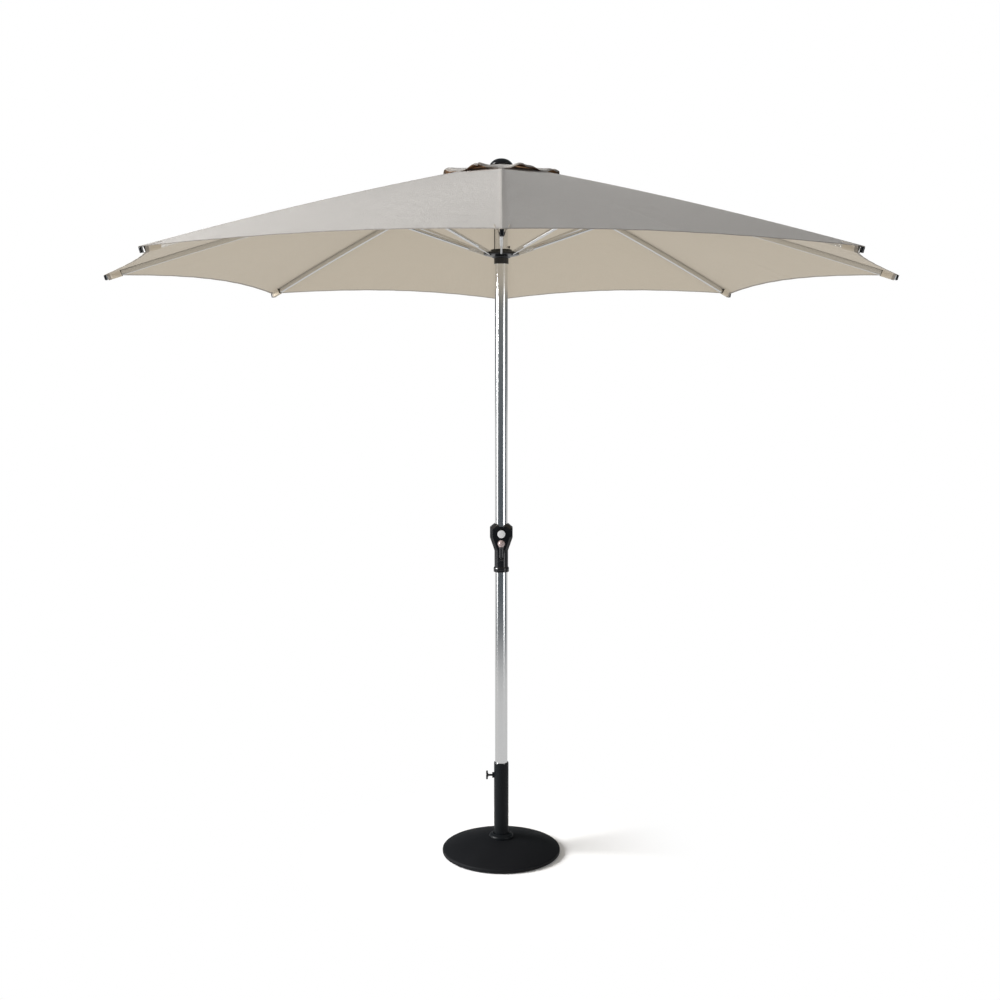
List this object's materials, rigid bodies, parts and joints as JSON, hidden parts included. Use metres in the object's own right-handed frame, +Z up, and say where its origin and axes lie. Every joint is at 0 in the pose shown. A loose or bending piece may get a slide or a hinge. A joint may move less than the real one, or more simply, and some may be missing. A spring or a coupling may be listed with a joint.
{
  "type": "patio umbrella with base",
  "caption": "Eight-sided crank-lift patio umbrella with a vented scalloped canopy on a straight two-piece pole, standing in a round domed base with a side lock screw.",
  "frame": {"origin": "middle of the footprint, on the ground", "axes": "+Z up along the pole; -Y is the front, where the crank and one rib are; the lock screw is at -X"},
  "size_m": [2.9996, 2.9996, 2.6746],
  "materials": {
    "concrete": "cast concrete with a fine black textured coat",
    "black_metal": "black powder coat, semi-matt",
    "steel": "zinc plated",
    "silver_tube": "polished and anodised",
    "black_plastic": "moulded, satin",
    "gloss_black": "moulded, glossy",
    "chrome_cap": "plain silver disc",
    "foot_rubber": "matt",
    "canopy_cloth": "taupe polyester, plain weave",
    "cord": "braided polyester"
  },
  "bodies": {
    "base": {"base_plate": "concrete", "base_tube": "black_metal", "base_collar": "black_metal", "base_feet": "foot_rubber", "anchor_bolts": "steel", "tube_sleeve": "black_plastic"},
    "pole": {"lower_pole": "silver_tube", "upper_pole": "silver_tube", "pole_joiner": "black_plastic", "pole_foot_cap": "black_plastic", "housing_front": "black_plastic", "housing_rear": "black_plastic", "housing_screws": "steel", "top_hub": "black_plastic", "hub_pins": "steel", "finial": "black_plastic", "lift_cord": "cord"},
    "lock_pad": {"lock_pad": "black_plastic"},
    "lock_screw": {"lock_screw": "black_metal", "lock_knob": "black_plastic"},
    "runner": {"runner": "black_plastic"},
    "crank": {"spool": "steel", "spool_cord": "cord", "crank_arm": "black_plastic", "hub_cap": "chrome_cap"},
    "grip": {"grip_core": "black_plastic"},
    "grip_sleeve": {"grip_sleeve": "gloss_black"},
    "pulley": {"top_pulley": "black_plastic"},
    "rib_1": {"rib_1": "silver_tube", "rib_fittings_1": "black_plastic", "canopy_1": "canopy_cloth"},
    "strut_1": {"strut_1": "silver_tube"},
    "rib_2": {"rib_2": "silver_tube", "rib_fittings_2": "black_plastic", "canopy_2": "canopy_cloth"},
    "strut_2": {"strut_2": "silver_tube"},
    "rib_3": {"rib_3": "silver_tube", "rib_fittings_3": "black_plastic", "canopy_3": "canopy_cloth"},
    "strut_3": {"strut_3": "silver_tube"},
    "rib_4": {"rib_4": "silver_tube", "rib_fittings_4": "black_plastic", "canopy_4": "canopy_cloth"},
    "strut_4": {"strut_4": "silver_tube"},
    "rib_5": {"rib_5": "silver_tube", "rib_fittings_5": "black_plastic", "canopy_5": "canopy_cloth"},
    "strut_5": {"strut_5": "silver_tube"},
    "rib_6": {"rib_6": "silver_tube", "rib_fittings_6": "black_plastic", "canopy_6": "canopy_cloth"},
    "strut_6": {"strut_6": "silver_tube"},
    "rib_7": {"rib_7": "silver_tube", "rib_fittings_7": "black_plastic", "canopy_7": "canopy_cloth"},
    "strut_7": {"strut_7": "silver_tube"},
    "rib_8": {"rib_8": "silver_tube", "rib_fittings_8": "black_plastic", "canopy_8": "canopy_cloth"},
    "strut_8": {"strut_8": "silver_tube"}
  },
  "joints": [
    {"name": "pole_lift", "type": "slide", "parent": "base", "child": "pole", "axis": [0, 0, 1], "range_m": [0, 0.34]},
    {"name": "lock_advance", "type": "slide", "parent": "base", "child": "lock_pad", "axis": [-1, 0, 0], "range_m": [0, 0.006]},
    {"name": "lock_turn", "type": "hinge", "parent": "lock_pad", "child": "lock_screw", "pos_m": [-0.04, 0, 0.31], "axis": [-1, 0, 0], "range_deg": [0, 1729]},
    {"name": "runner_slide", "type": "slide", "parent": "pole", "child": "runner", "axis": [0, 0, 1], "range_m": [-0.71746, 0]},
    {"name": "crank_turn", "type": "hinge", "parent": "pole", "child": "crank", "pos_m": [0, 0, 1.2678], "axis": [0, 1, 0], "range_deg": [-2791, 0]},
    {"name": "grip_fold", "type": "hinge", "parent": "crank", "child": "grip", "pos_m": [0, -0.0493, 1.1698], "axis": [1, 0, 0], "range_deg": [0, 90]},
    {"name": "grip_spin", "type": "hinge", "parent": "grip", "child": "grip_sleeve", "pos_m": [0, -0.0493, 1.1998], "axis": [0, 0, 1], "continuous": true},
    {"name": "pulley_spin", "type": "hinge", "parent": "pole", "child": "pulley", "pos_m": [-0.0156, 0, 2.6038], "axis": [0, 1, 0], "range_deg": [-4051, 0]},
    {"name": "rib_1_fold", "type": "hinge", "parent": "pole", "child": "rib_1", "pos_m": [0, -0.046, 2.6338], "axis": [1, 0, 0], "range_deg": [0, 70.8], "deforming": ["canopy_1"]},
    {"name": "strut_1_fold", "type": "hinge", "parent": "rib_1", "child": "strut_1", "pos_m": [0, -0.54364, 2.48924], "axis": [1, 0, 0], "range_deg": [-140.54, 0]},
    {"name": "rib_2_fold", "type": "hinge", "parent": "pole", "child": "rib_2", "pos_m": [0.03253, -0.03253, 2.6338], "axis": [0.7071, 0.7071, 0], "range_deg": [0, 70.8], "deforming": ["canopy_2"]},
    {"name": "strut_2_fold", "type": "hinge", "parent": "rib_2", "child": "strut_2", "pos_m": [0.38441, -0.38441, 2.48924], "axis": [0.7071, 0.7071, 0], "range_deg": [-140.54, 0]},
    {"name": "rib_3_fold", "type": "hinge", "parent": "pole", "child": "rib_3", "pos_m": [0.046, 0, 2.6338], "axis": [0, 1, 0], "range_deg": [0, 70.8], "deforming": ["canopy_3"]},
    {"name": "strut_3_fold", "type": "hinge", "parent": "rib_3", "child": "strut_3", "pos_m": [0.54364, 0, 2.48924], "axis": [0, 1, 0], "range_deg": [-140.54, 0]},
    {"name": "rib_4_fold", "type": "hinge", "parent": "pole", "child": "rib_4", "pos_m": [0.03253, 0.03253, 2.6338], "axis": [-0.7071, 0.7071, 0], "range_deg": [0, 70.8], "deforming": ["canopy_4"]},
    {"name": "strut_4_fold", "type": "hinge", "parent": "rib_4", "child": "strut_4", "pos_m": [0.38441, 0.38441, 2.48924], "axis": [-0.7071, 0.7071, 0], "range_deg": [-140.54, 0]},
    {"name": "rib_5_fold", "type": "hinge", "parent": "pole", "child": "rib_5", "pos_m": [0, 0.046, 2.6338], "axis": [-1, 0, 0], "range_deg": [0, 70.8], "deforming": ["canopy_5"]},
    {"name": "strut_5_fold", "type": "hinge", "parent": "rib_5", "child": "strut_5", "pos_m": [0, 0.54364, 2.48924], "axis": [-1, 0, 0], "range_deg": [-140.54, 0]},
    {"name": "rib_6_fold", "type": "hinge", "parent": "pole", "child": "rib_6", "pos_m": [-0.03253, 0.03253, 2.6338], "axis": [-0.7071, -0.7071, 0], "range_deg": [0, 70.8], "deforming": ["canopy_6"]},
    {"name": "strut_6_fold", "type": "hinge", "parent": "rib_6", "child": "strut_6", "pos_m": [-0.38441, 0.38441, 2.48924], "axis": [-0.7071, -0.7071, 0], "range_deg": [-140.54, 0]},
    {"name": "rib_7_fold", "type": "hinge", "parent": "pole", "child": "rib_7", "pos_m": [-0.046, 0, 2.6338], "axis": [0, -1, 0], "range_deg": [0, 70.8], "deforming": ["canopy_7"]},
    {"name": "strut_7_fold", "type": "hinge", "parent": "rib_7", "child": "strut_7", "pos_m": [-0.54364, 0, 2.48924], "axis": [0, -1, 0], "range_deg": [-140.54, 0]},
    {"name": "rib_8_fold", "type": "hinge", "parent": "pole", "child": "rib_8", "pos_m": [-0.03253, -0.03253, 2.6338], "axis": [0.7071, -0.7071, 0], "range_deg": [0, 70.8], "deforming": ["canopy_8"]},
    {"name": "strut_8_fold", "type": "hinge", "parent": "rib_8", "child": "strut_8", "pos_m": [-0.38441, -0.38441, 2.48924], "axis": [0.7071, -0.7071, 0], "range_deg": [-140.54, 0]}
  ],
  "couplings": [
    {"joint": "lock_turn", "follows": "lock_advance", "rad_per_m": 5026.5},
    {"joint": "crank_turn", "follows": "runner_slide", "rad_per_m": 67.871},
    {"joint": "pulley_spin", "follows": "runner_slide", "rad_per_m": 98.522},
    {"joint": "rib_1_fold", "follows": "runner_slide", "rad_per_m": -1.7175},
    {"joint": "strut_1_fold", "follows": "runner_slide", "rad_per_m": 3.4139},
    {"joint": "rib_2_fold", "follows": "runner_slide", "rad_per_m": -1.7175},
    {"joint": "strut_2_fold", "follows": "runner_slide", "rad_per_m": 3.4139},
    {"joint": "rib_3_fold", "follows": "runner_slide", "rad_per_m": -1.7175},
    {"joint": "strut_3_fold", "follows": "runner_slide", "rad_per_m": 3.4139},
    {"joint": "rib_4_fold", "follows": "runner_slide", "rad_per_m": -1.7175},
    {"joint": "strut_4_fold", "follows": "runner_slide", "rad_per_m": 3.4139},
    {"joint": "rib_5_fold", "follows": "runner_slide", "rad_per_m": -1.7175},
    {"joint": "strut_5_fold", "follows": "runner_slide", "rad_per_m": 3.4139},
    {"joint": "rib_6_fold", "follows": "runner_slide", "rad_per_m": -1.7175},
    {"joint": "strut_6_fold", "follows": "runner_slide", "rad_per_m": 3.4139},
    {"joint": "rib_7_fold", "follows": "runner_slide", "rad_per_m": -1.7175},
    {"joint": "strut_7_fold", "follows": "runner_slide", "rad_per_m": 3.4139},
    {"joint": "rib_8_fold", "follows": "runner_slide", "rad_per_m": -1.7175},
    {"joint": "strut_8_fold", "follows": "runner_slide", "rad_per_m": 3.4139}
  ]
}
